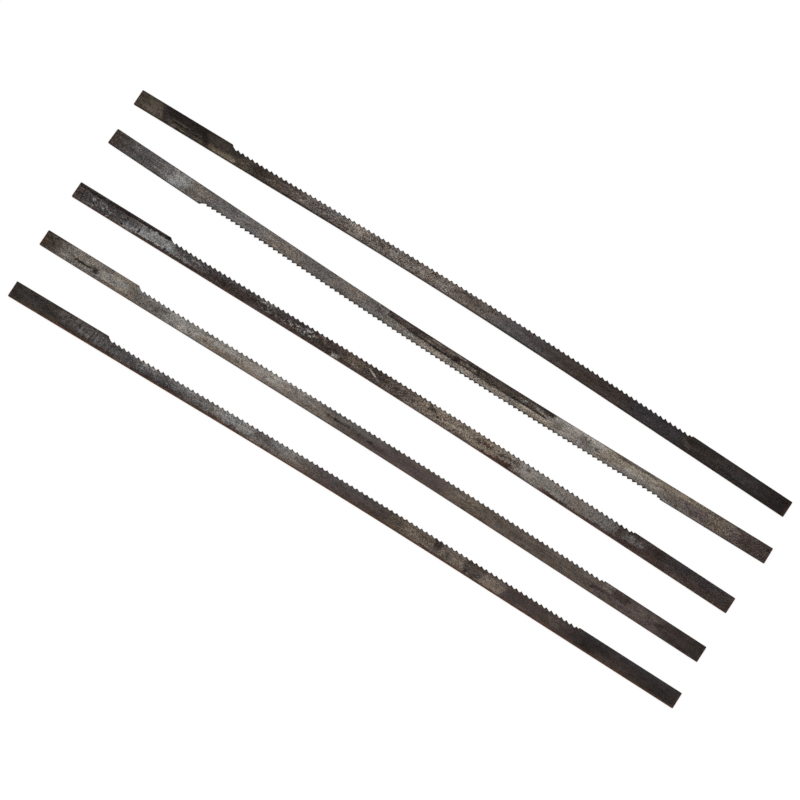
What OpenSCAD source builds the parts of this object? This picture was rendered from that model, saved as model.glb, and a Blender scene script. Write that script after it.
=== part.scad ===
// Set of five loose plain-end fret saw blades, lying flat side by side.
// Each blade is one steel strip: a plain front end, a milled row of teeth and a plain rear end.
// The blades lie along X, front ends at -X.
// The set's box is centred on the origin, with its bottom at Z = 0.

/* [Blade] */
// Length of a blade
blade_l = 130; // [115:1:160]
// Width of the plain ends
blade_w = 2.95; // [2.2:0.05:5]
// Thickness of the steel strip
blade_t = 0.5; // [0.3:0.05:1]
// Radius on the corners of the cut ends
corner_r = 0.12; // [0.04:0.02:0.5]
// Extra length of blade 2 at its front end, which is cut longer
front_extra_2 = 0.7; // [0:0.1:3]
// Extra length of blade 2 at its rear end
rear_extra_2 = 0.4; // [0:0.1:3]

/* [Teeth] */
// Number of teeth in the row
tooth_count = 94; // [60:1:100]
// Distance from one tip to the next
tooth_pitch = 0.97; // [0.8:0.01:1.08]
// Angle of the cutting face, measured from the line of the blade
face_angle = 67; // [58:1:78]
// Angle of the back of a tooth, measured from the line of the blade
back_angle = 28; // [23:1:33]
// Gullet radius at the two ends of the row
gullet_r_ends = 0.15; // [0.06:0.01:0.25]
// Gullet radius in the middle of the row
gullet_r_mid = 0.32; // [0.1:0.01:0.36]

/* [Tooth line] */
// Length of the plain front end, up to the shoulder
front_l = 18.15; // [10:0.05:24]
// Run of the steep shoulder that leads down to the teeth
shoulder_run = 0.33; // [0.15:0.01:0.6]
// Distance from the last tip to the heel, where the plain rear end starts
heel_l = 0.58; // [0.4:0.02:0.9]
// Run of the steep rise at the heel
heel_run = 0.14; // [0.05:0.01:0.3]
// Depth of the shallow last notch, below the last tip
heel_notch = 0.16; // [0.04:0.02:0.3]
// Depth of the tips at the front, below the edge of the plain ends
tip_drop_front = 0.46; // [0.2:0.02:0.7]
// Depth of the tips at the rear, below the edge of the plain ends
tip_drop_rear = 0.08; // [0.02:0.01:0.4]
// Height of the first tip above the tooth line
run_in = 0.12; // [0:0.02:0.2]
// Number of teeth over which the first tips come down to the tooth line
run_in_teeth = 5; // [2:1:10]

/* [Bow] */
// Length of the curved stretch in the middle of each blade
bow_l = 50; // [30:1:80]
// Bow of blade 1 towards its teeth
bow_1 = 1.1; // [0:0.05:2]
// Bow of blade 2 towards its teeth
bow_2 = 1; // [0:0.05:2]
// Bow of blade 3 towards its teeth
bow_3 = 0.75; // [0:0.05:2]
// Bow of blade 4 towards its teeth
bow_4 = 0.6; // [0:0.05:2]
// Bow of blade 5 towards its teeth
bow_5 = 0.75; // [0:0.05:2]

/* [Layout] */
// Gap between blades 1 and 2 at their middles
gap_1_2 = 7.4; // [4:0.05:15]
// Gap between blades 2 and 3 at their middles
gap_2_3 = 6.15; // [4:0.05:15]
// Gap between blades 3 and 4 at their middles
gap_3_4 = 6.9; // [4:0.05:15]
// Gap between blades 4 and 5 at their middles
gap_4_5 = 6.35; // [4:0.05:15]
// Shift of blade 1 along X, against blade 3
shift_1 = -0.4; // [-5:0.05:5]
// Shift of blade 2 along X, against blade 3
shift_2 = 0.55; // [-5:0.05:5]
// Shift of blade 4 along X, against blade 3
shift_4 = 0.2; // [-5:0.05:5]
// Shift of blade 5 along X, against blade 3
shift_5 = 0.8; // [-5:0.05:5]
// Turn of blade 1 against blade 3, in degrees
turn_1 = -0.15; // [-2:0.05:2]
// Turn of blade 2 against blade 3, in degrees
turn_2 = -0.3; // [-2:0.05:2]
// Turn of blade 4 against blade 3, in degrees
turn_4 = 0.2; // [-2:0.05:2]
// Turn of blade 5 against blade 3, in degrees
turn_5 = 0.9; // [-2:0.05:2]

/* [Hidden] */
NODES = ["blade_1", "blade_2", "blade_3", "blade_4", "blade_5"];

// Straight pieces in a gullet's arc, in a corner's arc and along the curved back edge
gullet_steps = 4;
corner_steps = 3;
back_steps = 20;

bows = [bow_1, bow_2, bow_3, bow_4, bow_5];
gaps = [gap_1_2, gap_2_3, gap_3_4, gap_4_5];
shifts = [shift_1, shift_2, 0, shift_4, shift_5];
turns = [turn_1, turn_2, 0, turn_4, turn_5];
// Blade 2 lies turned over, so its teeth point the other way
sides = [1, -1, 1, 1, 1];
front_extras = [0, front_extra_2, 0, 0, 0];
rear_extras = [0, rear_extra_2, 0, 0, 0];

// Places along the blade, from its middle
front_x = -blade_l / 2;
rear_x = blade_l / 2;
shoulder_x = front_x + front_l;
first_tip_x = shoulder_x + shoulder_run + tooth_pitch;
last_tooth = tooth_count - 1;
last_tip_x = first_tip_x + last_tooth * tooth_pitch;
heel_x = last_tip_x + heel_l;
bow_end_x = bow_l / 2;

// Angle between the back of a tooth and the next face, the depth to which they would run, and the largest
// radius between them that still leaves a straight cutting face
gullet_angle = 180 - back_angle - face_angle;
sharp_depth = tooth_pitch / (1 / tan(back_angle) + 1 / tan(face_angle));
straight_face = 0.1;
gullet_r_most = (1 - straight_face) * sharp_depth / sin(face_angle) * tan(gullet_angle / 2);

// Depth of tip n below the edge of the plain ends: an easy slope from the front to the rear, with the
// first few tips a little higher
function tip_drop(n) =
    let (rearward = (1 - cos(180 * n / last_tooth)) / 2)
    let (rise = run_in * max(0, 1 - n / run_in_teeth))
    tip_drop_front + (tip_drop_rear - tip_drop_front) * rearward - rise;

// Tip n on a straight blade, with heights measured from the back edge; tip -1 is the foot of the shoulder
function tip(n) = [first_tip_x + n * tooth_pitch, blade_w - tip_drop(n)];

// Gullet radius after tip n: largest in the middle of the row, and never past what the tooth face can hold
function gullet_r(n) =
    let (from_middle = 2 * n / last_tooth - 1)
    min(gullet_r_most, gullet_r_mid + (gullet_r_ends - gullet_r_mid) * from_middle * from_middle);

// Where the back of tooth n would meet the face of the next tooth
function gullet_root(n) =
    let (a = tip(n), b = tip(n + 1))
    let (back_slope = tan(back_angle), face_slope = tan(face_angle))
    let (x = (a.y - b.y + a.x * back_slope + b.x * face_slope) / (back_slope + face_slope))
    [x, a.y - (x - a.x) * back_slope];

// Arc of the gullet after tip n, tangent to the back of one tooth and the face of the next
function gullet(n) =
    let (r = gullet_r(n))
    let (reach = r / tan(gullet_angle / 2))
    let (start = gullet_root(n) + reach * [-cos(back_angle), sin(back_angle)])
    let (centre = start + r * [sin(back_angle), cos(back_angle)])
    [for (i = [0 : gullet_steps])
        let (q = (back_angle + face_angle) * i / gullet_steps - back_angle)
        centre + r * [sin(q), -cos(q)]];

// Toothed edge from the shoulder to the heel
tooth_line = [
    [shoulder_x, blade_w],
    for (n = [-1 : last_tooth - 1]) each concat([tip(n)], gullet(n)),
    tip(last_tooth),
    [heel_x - heel_run, tip(last_tooth).y - heel_notch],
    [heel_x, blade_w]
];

// Rounded corner of a cut end, clockwise from the angle given
function corner(centre, from) = [
    for (i = [0 : corner_steps])
        let (q = from - 90 * i / corner_steps)
        centre + corner_r * [cos(q), sin(q)]
];

// Back edge from rear to front, with points only where it curves
back_line = [for (i = [0 : back_steps]) [bow_end_x * (1 - 2 * i / back_steps), 0]];

// Whole outline of blade k before it is bowed, clockwise from the back corner of its front end
function straight(k) =
    let (front = front_x - front_extras[k] + corner_r)
    let (rear = rear_x + rear_extras[k] - corner_r)
    concat(
        corner([front, corner_r], 270),
        corner([front, blade_w - corner_r], 180),
        tooth_line,
        corner([rear, blade_w - corner_r], 90),
        corner([rear, corner_r], 0),
        back_line
    );

// Point of the straight blade once the blade is bowed: a shallow parabola in the middle, straight ends
function bowed(p, bow) =
    let (curvature = 2 * bow / (bow_end_x * (blade_l - bow_end_x)))
    let (x = max(-bow_end_x, min(bow_end_x, p.x)))
    let (slope = -curvature * x)
    let (axis_y = slope * x / 2 + slope * (p.x - x))
    [p.x, axis_y] + (p.y - blade_w / 2) * [-sin(atan(slope)), cos(atan(slope))];

// Distance from the middle of blade 1 down to the middle of blade k, counted from 0
function row_y(k) = k == 0 ? 0 : row_y(k - 1) - gaps[k - 1] - blade_w;

// Point turned about the origin
function turned(p, angle) = [p.x * cos(angle) - p.y * sin(angle), p.x * sin(angle) + p.y * cos(angle)];

// Outline of blade k where it lies in the set
function laid(k) = [
    for (p = straight(k))
        let (q = bowed(p, bows[k]))
        [shifts[k], row_y(k)] + turned([q.x, sides[k] * q.y], turns[k])
];

outlines = [for (k = [0 : len(NODES) - 1]) laid(k)];
all_x = [for (outline = outlines) for (p = outline) p.x];
all_y = [for (outline = outlines) for (p = outline) p.y];
set_middle = [min(all_x) + max(all_x), min(all_y) + max(all_y)] / 2;

// Steel strip of blade k, counted from 0
module strip(k) {
    linear_extrude(height = blade_t)
        polygon([for (p = outlines[k]) p - set_middle]);
}

module blade_1() {
    color("#4d4743")
        strip(0);
}

module blade_2() {
    color("#625d59")
        strip(1);
}

module blade_3() {
    color("#534c48")
        strip(2);
}

module blade_4() {
    color("#645d57")
        strip(3);
}

module blade_5() {
    color("#4f4a47")
        strip(4);
}

blade_1();
blade_2();
blade_3();
blade_4();
blade_5();
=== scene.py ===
"""Worn fret saw blades laid side by side on a white studio floor, seen from above."""

import math
from functools import partial
from typing import NamedTuple

import bmesh
import bpy
import numpy as np
from bpy.props import EnumProperty, FloatProperty, FloatVectorProperty, IntProperty, PointerProperty
from mathutils import Color, Matrix, Vector


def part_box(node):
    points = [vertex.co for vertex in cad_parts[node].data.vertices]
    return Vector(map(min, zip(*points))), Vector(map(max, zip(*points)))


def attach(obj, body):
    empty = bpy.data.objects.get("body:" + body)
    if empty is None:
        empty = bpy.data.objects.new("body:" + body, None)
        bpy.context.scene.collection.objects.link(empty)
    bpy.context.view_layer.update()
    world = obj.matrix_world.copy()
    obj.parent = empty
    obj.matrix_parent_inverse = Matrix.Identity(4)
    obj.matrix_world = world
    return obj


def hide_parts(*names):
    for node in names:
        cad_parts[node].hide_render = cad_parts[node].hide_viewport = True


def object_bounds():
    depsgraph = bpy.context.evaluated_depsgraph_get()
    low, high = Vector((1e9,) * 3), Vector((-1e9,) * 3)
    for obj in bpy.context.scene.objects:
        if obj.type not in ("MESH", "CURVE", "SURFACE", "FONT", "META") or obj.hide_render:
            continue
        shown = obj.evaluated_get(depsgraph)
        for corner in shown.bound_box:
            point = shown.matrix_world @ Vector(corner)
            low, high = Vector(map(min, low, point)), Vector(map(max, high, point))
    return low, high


bl_info = {
    "name": "Fret Saw Blades",
    "version": (1, 0, 0),
    "blender": (4, 5, 0),
    "location": "View3D > Sidebar > Blades",
    "description": "Dresses a set of fret saw blades in worn steel and sets up their studio",
    "category": "Object",
}

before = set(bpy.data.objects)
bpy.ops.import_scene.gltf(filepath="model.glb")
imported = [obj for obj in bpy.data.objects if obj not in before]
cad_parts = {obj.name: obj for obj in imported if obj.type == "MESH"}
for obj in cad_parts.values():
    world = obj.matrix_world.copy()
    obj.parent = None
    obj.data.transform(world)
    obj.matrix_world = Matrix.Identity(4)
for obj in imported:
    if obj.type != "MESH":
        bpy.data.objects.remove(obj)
cad_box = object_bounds()

MM = 0.001
BLADES = sorted(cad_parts)
WHITE = (1.0, 1.0, 1.0, 1.0)
EVEN = (1.0, 1.0, 1.0)

# Outlines, in millimetres: points closer than this are one point
WELD = 0.0005
# Length that only the cut ends and the straight runs of an outline exceed
CUT_MIN = 1.0
# Least gap between two stations along a blade, and the step between them on plain steel
STATION_GAP = 0.02
PLAIN_STEP = 1.0
# Reach in which a tooth's tip and root are looked for, its least depth, and the room below its root
TOOTH_WINDOW = 0.6
TOOTH_MIN = 0.15
ROOT_MARGIN = 0.05
# Least normal height of a face that looks up
UPWARD = 0.9
# Room between a cut end and the rows of its flat faces, in edge radii
END_ROOM = 2.0
# Material slots of the broad faces and of the narrow sides
FACE_SLOT = 0
SIDE_SLOT = 1
# Sockets of a mix node that hold its two colours and their mix
MIX_BASE = 6
MIX_OVER = 7
MIX_RESULT = 2


class Pattern(NamedTuple):
    """Cloudy noise, with its fineness in features to one unit of length."""

    fineness: float
    detail: float
    roughness: float = 0.5
    distortion: float = 0.0
    stretch: tuple = EVEN


# Grains that break up stains: a pattern, and the values of it at which the grain is nothing and full
GRAINS = {
    "mottle": (Pattern(1.6, 5.0, 0.65), 0.34, 0.62),
    "streak": (Pattern(1.0, 4.0, 0.6, stretch=(0.25, 3.5, 1.0)), 0.4, 0.62),
    "cross": (Pattern(1.0, 3.0, 0.6, stretch=(3.0, 0.35, 1.0)), 0.42, 0.62),
    "flake": (Pattern(1.3, 6.0, 0.65, distortion=0.4), 0.51, 0.57),
    "fleck": (Pattern(2.8, 3.0, 0.6), 0.54, 0.64),
    "pit": (Pattern(2.0, 2.0), 0.39, 0.34),
}

# Pattern that frays the borders of stains and tones, and how far tones wander in millimetres
WOBBLE = Pattern(1.3, 6.0, 0.65)
WOBBLE_RANGE = (0.25, 0.75)
TONE_WANDER = 1.2
# Steps in the noise from face to face and from blade to blade, so that no two are alike
FACE_STEP = 3.0
BLADE_STEP = 7.0

# Dark lines along the borders of the broad faces: the millimetres over which each changes, and its
# strength. The line along the back edge is partly a real brown edge stain and partly painted shade of the
# edge
BACK_STAIN_AND_SHADE = (0.08, 0.25)
FAR_LINE = (2.75, 2.9)
FAR_STRENGTH = 0.4
TIP_STRENGTH = 0.85
END_LINE = (0.1, 0.7)
END_STRENGTH = 0.7

# Layers of the steel's fine grain with the share of each, and the most that its strength can be
GRIT = [
    (Pattern(1.5, 1.0), 0.8),
    (Pattern(2.6, 1.0), 1.4),
    (Pattern(5.0, 1.0), 3.6),
    (Pattern(10.0, 1.0), 2.6),
]
GRIT_MAX = 2.0
# Cloudy variation in tone, its strength where there is no grit, and the limits of all shading
CLOUD = Pattern(1.0, 4.0, 0.6, stretch=(0.35, 1.2, 1.0))
CLOUD_BASE = 0.8
DARKEST = 0.35
BRIGHTEST = 2.2
# Drift between warm and cool, and what it does to red, green and blue
DRIFT = Pattern(0.8, 4.0, 0.6)
WARMER = (1.0, 0.0, -1.0)

# Tones of dark scale and of bright steel, the roughness of each, and the shine and metal of all steel
SURFACE_TONES = (0.02, 0.33)
SURFACE_ROUGHNESS = (0.62, 0.46)
SHINE = 0.2
FACE_METALLIC = 0.9
SIDE_METALLIC = 0.1

# Narrow sides: cut marks, with places in metres, patches of the rim's finish, and rust on the back side
CUT_MARKS = Pattern(1.0, 3.0, 0.6, stretch=(4000.0, 4000.0, 300.0))
CUT_STRENGTH = 1.2
SIDE_PATCHES = Pattern(0.5, 4.0, 0.6)
RIM_RANGE = (0.35, 0.65)
RUST_RANGE = (0.62, 0.4)
RUST_LEAST = 0.2
BACK_SIDE = (0.5, 1.5)

# Paper of the floor, with places in metres
PAPER = Pattern(6.0, 3.0)
PAPER_RANGE = (0.3, 0.7)
PAPER_TONES = (0.985, 1.0)
PAPER_ROUGHNESS = 0.9
PAPER_SHINE = 0.1
FLOOR_SEGMENTS = 96
# Places of the soft lights, in metres, and the width of the camera's sensor, in millimetres
SOFTBOXES = {"softbox_left": (-0.45, 0.35, 0.55), "softbox_right": (0.5, 0.2, 0.5)}
SENSOR_WIDTH = 36.0

# A stain that crosses the whole width of a blade
FULL = (-1.0, 4.0)


class Stain(NamedTuple):
    """A patch of one finish on a blade, in millimetres from its front end and from its back edge."""

    grain: str
    finish: str
    # Where it lies along the blade and across it, and how softly it ends in each way
    along: tuple
    across: tuple = FULL
    fade: tuple = (0.8, 0.3)
    strength: float = 1.0
    # How far its border strays, and the tilt of its ends and of its long borders
    ragged: float = 0.25
    slant: float = 0.0
    lean: float = 0.0


# Makers of stains, one to each grain
solid, mottle, streak, cross, flake, fleck, pit = (partial(Stain, grain) for grain in ("solid", *GRAINS))


class Look(NamedTuple):
    """Looks of one blade; places along it are in millimetres from its front end."""

    # Finish of the narrow sides, and how strongly it marks the back edge of the broad faces, partly as a
    # real edge stain and partly as painted edge shade
    rim: str
    rim_stain_and_shade: float
    # Share of rust on the narrow back side
    rust: float
    # Part of a tooth's height over which its steel turns dark
    tip_fade: float
    # Finish reached at each place
    tones: list
    # Strength of the fine grain at each place
    grit: list


# Looks of each blade, and the patches laid over its tones, lowest first
LOOKS = {}
STAINS = {}

LOOKS["blade_1"] = Look(
    rim="pitch",
    rim_stain_and_shade=0.6,
    rust=0.3,
    tip_fade=0.35,
    tones=[
        (0, "soot"), (13, "soot"), (17, "sepia"), (26, "sepia"), (30, "bark"), (33, "iron"), (37, "pewter"),
        (42, "steel"), (62, "steel"), (68, "iron"), (75, "slate"), (82, "graphite"), (88, "umber"),
        (97, "umber"), (103, "bluing"), (109, "soot"), (122, "soot"), (130, "pitch"),
    ],
    grit=[
        (0, 0.9), (6, 0.8), (20, 0.85), (32, 1.2), (42, 1.65), (60, 1.65), (68, 1.2), (76, 0.75),
        (115, 0.75), (120, 0.6), (130, 0.65),
    ],
)
STAINS["blade_1"] = [
    solid("khaki", (-3, 4.95), FULL, (0.12, 0.3), ragged=0.1, slant=-0.55),
    mottle("iron", (2.5, 4.9), (0.2, 1.6), (0.5, 0.4), slant=-0.55),
    mottle("sepia", (-1, 2), FULL, (1.2, 0.4), 0.8),
    solid("sepia", (0, 4.7), (1.5, 3.4), (0.6, 0.5), 0.4, slant=-0.55),
    solid("pitch", (5.3, 13.5), (1.45, 3.4), (0.4, 0.25), 0.8, slant=-0.55),
    streak("khaki", (6.5, 13), (0.7, 1.45), (1.5, 0.2), lean=-0.03),
    streak("olive", (6.8, 14.5), (0.2, 0.6), (1.5, 0.15)),
    solid("pitch", (7.5, 13.5), (0.78, 0.92), (1.5, 0.1), lean=-0.04),
    solid("iron", (6.9, 8.2), (-0.3, 0.35), (0.4, 0.2)),
    solid("pitch", (13.3, 14.6), (0.2, 1.7), (0.4, 0.4), ragged=0.4, slant=-0.4),
    solid("olive", (14.8, 20.2), (-0.5, 0.85), (0.5, 0.4), 0.8, ragged=0.4),
    mottle("fawn", (15.5, 20.1), (0.1, 0.75), (0.4, 0.25), 0.8),
    mottle("bark", (15.5, 18.5), (1.2, 2.2), (1, 0.4), 0.6),
    mottle("khaki", (20.3, 23.5), (-0.3, 2), (0.6, 0.4), 0.9),
    solid("soot", (18.6, 22.5), (1.6, 3), (0.8, 0.3), 0.5),
    solid("soot", (23.2, 25.5), (0.3, 2.4), (1, 0.4), 0.6),
    streak("iron", (25.5, 31), (0.8, 1.4), (1.5, 0.3), lean=0.2),
    solid("fawn", (26.5, 30.5), (1.3, 1.5), (0.8, 0.12), 0.6, lean=0.25),
    mottle("iron", (27.5, 33), (0.3, 1.1), (1, 0.3), 0.8),
    solid("graphite", (29, 33), (1.4, 2.6), (0.8, 0.3), 0.45),
    solid("pitch", (28, 41), (0.02, 0.22), (1, 0.1), 0.8, ragged=0.1),
    solid("ash", (32.8, 33.6), (0.5, 0.95), (0.2, 0.15)),
    mottle("steel", (33.5, 36), (0.7, 2.2), (0.8, 0.4), 0.8),
    mottle("bark", (35.8, 43), (-0.2, 1), (1, 0.3), 0.85),
    solid("soot", (35.6, 36.5), (1.2, 1.45), (0.2, 0.12)),
    solid("umber", (36.6, 38.8), (1.25, 1.5), (0.5, 0.15), ragged=0.3, lean=-0.12),
    flake("umber", (36, 39.5), (0.5, 0.9), (0.5, 0.2)),
    mottle("pewter", (37.5, 42), (1.1, 2.3), (1, 0.4), 0.7),
    mottle("ash", (42.8, 46.2), (1.15, 2.3), (0.5, 0.3), ragged=0.5),
    flake("bark", (43.5, 62), (0.2, 2.5), (2, 0.4), 0.9),
    fleck("ash", (44, 64), (0.3, 2.3), (2, 0.4), 0.8),
    pit("soot", (34, 73), (0.3, 2.4), (3, 0.4), 0.8),
    mottle("ash", (56.2, 58.6), (0.9, 1.8), (0.6, 0.3), 0.5),
    mottle("straw", (43.2, 47.5), (1.55, 2.3), (0.6, 0.25), 0.7),
    mottle("fawn", (44.3, 47), (0.8, 1.5), (0.5, 0.25), 0.6),
    mottle("fawn", (57, 60.5), (0.4, 1.2), (0.6, 0.3), 0.6),
    flake("iron", (54, 60), (1.1, 2.4), (1, 0.3), 0.8),
    mottle("bark", (55.5, 60), (-0.2, 0.6), (1, 0.2), 0.6),
    solid("dove", (60.3, 63.2), (0.2, 1.7), (0.8, 0.4), 0.6),
    solid("pitch", (58.7, 59.8), (1.78, 2), (0.25, 0.12)),
    flake("bark", (64, 68.5), (1, 2.4), (1, 0.4), 0.9),
    mottle("iron", (63, 67.5), (0.9, 2.4), (0.6, 0.4), 0.7),
    mottle("pewter", (67.5, 75.5), (0.2, 1.1), (1, 0.3), 0.9),
    solid("slate", (74, 83), (0.1, 0.8), (2, 0.25), 0.7),
    mottle("bark", (83, 98), (0.1, 1), (2, 0.4), 0.6),
    solid("bluing", (98, 109), (0.4, 2.4), (2, 0.5), 0.7),
    solid("soot", (91.5, 99), (1.2, 2.8), (1.5, 0.4), 0.5),
    streak("khaki", (109.2, 110.8), (0.7, 1.5), (0.3, 0.25), lean=-0.5),
    mottle("umber", (109, 114), (0.3, 1.6), (1.5, 0.5), 0.7),
    mottle("graphite", (116, 125), (0.7, 2.6), (1.5, 0.4), 0.5),
    solid("pitch", (115.5, 121.5), (0.6, 0.75), (0.6, 0.1), ragged=0.12, lean=-0.08),
    streak("pitch", (113, 122), (0.3, 0.6), (1.5, 0.2), 0.8),
]

LOOKS["blade_2"] = Look(
    rim="umber",
    rim_stain_and_shade=0.1,
    rust=0.0,
    tip_fade=0.5,
    tones=[
        (0, "umber"), (2.5, "graphite"), (5, "slate"), (8.5, "slate"), (12, "pewter"), (15, "steel"),
        (20, "pewter"), (29, "pewter"), (33, "steel"), (38, "steel"), (42, "pewter"), (50, "steel"),
        (54, "pewter"), (58, "steel"), (70, "fawn"), (86, "fawn"), (89.5, "ash"), (98, "ash"), (110, "ash"),
        (116, "steel"), (121, "iron"), (125, "bark"), (131, "umber"),
    ],
    grit=[
        (0, 1), (16, 0.9), (50, 0.85), (57, 1.1), (61, 1.35), (87, 1.35), (90, 0.75), (110, 0.7),
        (115, 0.95), (122, 1.2), (131, 1.4),
    ],
)
STAINS["blade_2"] = [
    mottle("umber", (-0.5, 2), FULL, (1, 0.4), 0.6),
    fleck("olive", (0.5, 10), (0.2, 2.8), (1, 0.4), 0.5),
    mottle("bluing", (5, 9.3), (1, 2.2), (1.5, 0.5), 0.5),
    mottle("pewter", (3.5, 9.5), (-0.3, 0.9), (1, 0.3), 0.9),
    streak("silver", (8.8, 13.5), (0.9, 2.5), (1, 0.4), 0.5, lean=0.1),
    solid("frost", (12.2, 15.4), (0.3, 2.7), (0.3, 0.4), 0.9, ragged=0.4),
    mottle("fawn", (15.8, 21), (0.2, 1.5), (0.8, 0.4), 0.6),
    mottle("iron", (16.5, 20), (1.6, 2.8), (0.8, 0.3), 0.6),
    solid("frost", (13.2, 16.3), (0.3, 1.5), (0.4, 0.3), 0.8, ragged=0.3),
    solid("silver", (13.3, 15.8), (0.6, 2), (0.3, 0.3), 0.35, ragged=0.3),
    solid("slate", (19.5, 25), (-0.3, 0.8), (1.5, 0.4), 0.65),
    mottle("frost", (21, 32), FULL, (2, 0.5), 0.15),
    mottle("fawn", (30, 37), (0.3, 2.2), (1.5, 0.4), 0.5),
    mottle("frost", (29.8, 32.4), (0.3, 1.1), (0.6, 0.3), 0.5),
    solid("dove", (32, 35.5), (-0.3, 0.5), (0.6, 0.2), 0.7),
    solid("slate", (39, 44), (0.4, 2.2), (2, 0.4), 0.4),
    mottle("fawn", (47.5, 51.5), (-0.3, 1), (1, 0.4), 0.7),
    solid("umber", (53.9, 54.7), (0.6, 1.3), (0.4, 0.3), 0.7, slant=0.4),
    solid("dove", (56.6, 62.5), (1.4, 2.8), (0.6, 0.25), 0.65),
    solid("umber", (56.05, 88.8), (-0.5, 0.75), (0.1, 0.12), ragged=0.12),
    solid("umber", (56.6, 64), (0.4, 1.05), (0.5, 0.12), 0.6, ragged=0.12, lean=0.05),
    solid("umber", (64.5, 87), (0.4, 1.45), (1.5, 0.1), 0.85, ragged=0.12),
    flake("pitch", (74.5, 83), (0.2, 1.5), (1, 0.2), 0.6),
    streak("fawn", (74, 86.5), (0.5, 1.3), (1, 0.15), 0.4),
    streak("fawn", (64.3, 69.3), (0.2, 1.2), (0.6, 0.12)),
    streak("iron", (58.5, 66), (0.3, 0.6), (1.5, 0.1), lean=0.03),
    solid("pitch", (56.05, 67), (0.97, 1.27), (0.08, 0.1), 0.85, ragged=0.1, lean=0.05),
    solid("pitch", (66, 75), (1.28, 1.48), (0.4, 0.1), ragged=0.12),
    solid("pitch", (73.5, 82), (1.42, 1.7), (0.4, 0.1), ragged=0.15),
    solid("pitch", (81, 88), (1.2, 1.55), (0.4, 0.1), 0.9, ragged=0.15),
    solid("pitch", (69.3, 74.5), (0.4, 1.3), (0.4, 0.15), 0.85, ragged=0.15),
    solid("fawn", (70.6, 73.8), (0.8, 1.25), (0.4, 0.12), ragged=0.15),
    solid("pitch", (69.1, 69.7), (1.4, 2.1), (0.12, 0.15), 0.9),
    fleck("iron", (74, 86), (0.1, 1.2), (1, 0.3), 0.5),
    flake("ash", (82.5, 87.8), (0.45, 1.15), (0.4, 0.2)),
    solid("steel", (84.6, 87.2), (0.4, 1.1), (0.4, 0.2), 0.6, ragged=0.3),
    solid("pitch", (86.6, 89), (-0.3, 0.95), (0.25, 0.2), 0.6, ragged=0.3),
    streak("pitch", (60, 86.5), (0.75, 1.5), (1, 0.15), 0.6),
    streak("fawn", (66, 71.5), (0.12, 0.5), (0.8, 0.12), 0.9),
    solid("ash", (69.5, 84.5), (1.6, 3), (1, 0.2), 0.5),
    mottle("ash", (62, 75), (1.7, 2.5), (1, 0.2), 0.7),
    mottle("iron", (75.5, 80.5), (1.65, 2.3), (0.8, 0.2), 0.6),
    solid("straw", (83.3, 89), (1.65, 2.05), (0.6, 0.12)),
    mottle("silver", (83.6, 88.6), (1.65, 1.95), (0.5, 0.12), 0.8),
    mottle("olive", (83.3, 89), (2.1, 3), (0.6, 0.15), 0.7),
    solid("silver", (89.5, 99.5), (-0.4, 1), (0.7, 0.3), 0.85, ragged=0.4),
    solid("steel", (89.2, 91), (0.9, 2.3), (0.5, 0.4), 0.7, ragged=0.5),
    solid("pewter", (94.3, 96.3), (0.7, 2.1), (0.5, 0.4), 0.8, ragged=0.6),
    solid("iron", (94.1, 95.7), (0.7, 1.7), (0.4, 0.3), 0.6, ragged=0.4),
    solid("pitch", (97.45, 97.95), (1.25, 1.7), (0.2, 0.2), 0.8, ragged=0.1),
    mottle("steel", (95.5, 104), (1.4, 2.5), (1, 0.3), 0.9),
    solid("straw", (99, 113), (0.3, 1.7), (1, 0.4), 0.7),
    solid("fawn", (98.6, 101.4), (0.9, 2), (0.5, 0.3), 0.6),
    solid("fawn", (110, 120), (-0.3, 1), (1, 0.4)),
    streak("olive", (99, 104), (-0.2, 0.8), (1, 0.3), lean=0.08),
    solid("iron", (101.5, 109.5), (0.05, 0.58), (1.5, 0.12), ragged=0.15),
    mottle("silver", (103.8, 107.5), (1.3, 1.9), (0.8, 0.3), 0.8),
    solid("steel", (102, 111), (1.9, 3), (1, 0.25), 0.7),
    streak("olive", (110, 118), (0.1, 0.7), (1.5, 0.2), 0.8),
    solid("mauve", (110.5, 119.5), (1.15, 2.6), (2, 0.4), 0.75),
    solid("fawn", (111.5, 114.5), (1, 1.8), (0.6, 0.3), 0.6),
    mottle("olive", (119.5, 123.5), (0.3, 2.6), (0.6, 0.4), 0.6),
    fleck("fawn", (120.5, 123), (0.5, 2), (0.5, 0.4), 0.7),
    mottle("bark", (119.6, 122), (1.1, 2), (0.5, 0.3), 0.6),
    mottle("bark", (119, 124), (-0.3, 0.6), (1, 0.3), 0.7),
    solid("umber", (124.4, 129), (0.9, 2.6), (0.7, 0.4), 0.4, ragged=0.3),
    solid("mauve", (115, 118.5), (0.8, 1.4), (0.8, 0.2), 0.7),
    mottle("steel", (122, 125.2), (0.3, 2.3), (0.6, 0.4), 0.7),
]

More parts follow.
